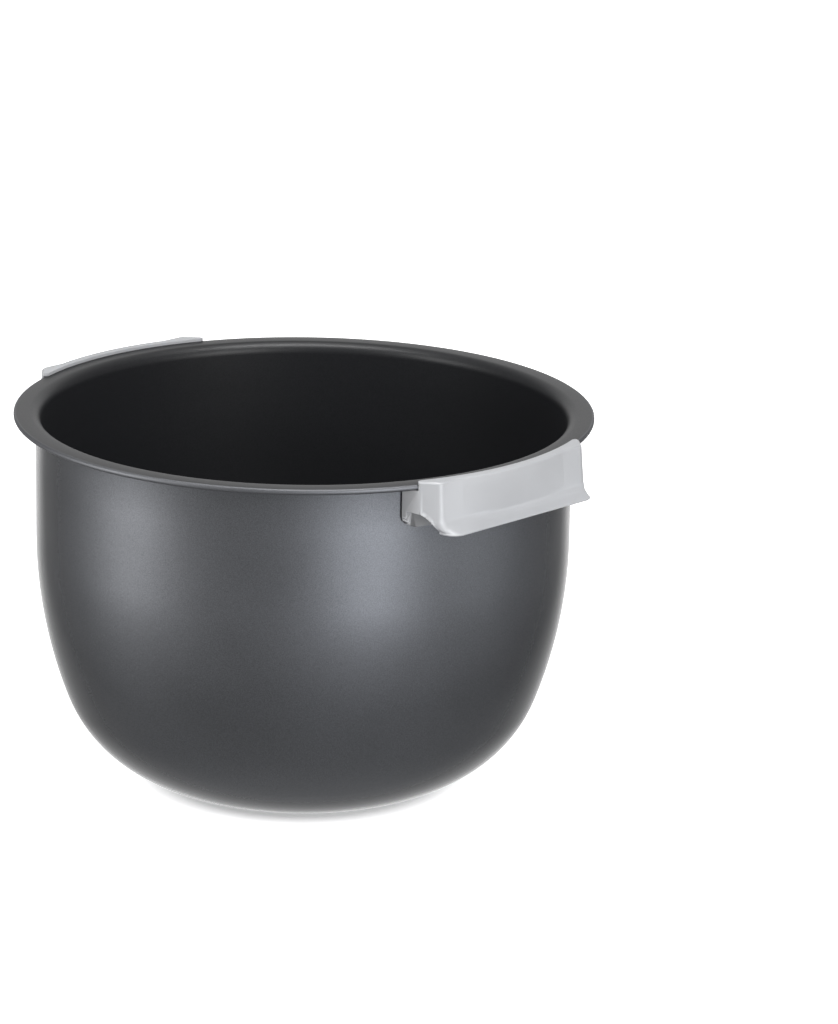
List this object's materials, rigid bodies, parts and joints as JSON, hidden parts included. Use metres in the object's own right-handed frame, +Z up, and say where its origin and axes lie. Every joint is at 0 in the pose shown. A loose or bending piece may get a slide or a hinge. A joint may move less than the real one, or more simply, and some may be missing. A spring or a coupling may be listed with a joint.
{
  "type": "rice cooker inner pan",
  "caption": "Inner cooking pan of a rice cooker: a flanged round vessel with a rounded base, and a hooked grip screwed to a bracket on each side.",
  "frame": {"origin": "middle of the base, on the surface that the pan stands on", "axes": "+Z up along the pan's axis, +X through the middle of the right grip, +Y a quarter turn from it"},
  "size_m": [0.2634, 0.25, 0.1657],
  "materials": {
    "coated_pan": "dark non-stick coat inside, satin dark metallic coat outside",
    "grip_plastic": "semi-matt light grey heat-resistant moulding",
    "bracket_steel": "plain stainless strip",
    "screw_steel": "bright stainless machine screw"
  },
  "bodies": {
    "root": {"pan_body": "coated_pan", "right_grip": "grip_plastic", "left_grip": "grip_plastic", "right_bracket": "bracket_steel", "left_bracket": "bracket_steel", "right_screw_front": "screw_steel", "right_screw_rear": "screw_steel", "left_screw_front": "screw_steel", "left_screw_rear": "screw_steel"}
  },
  "joints": []
}
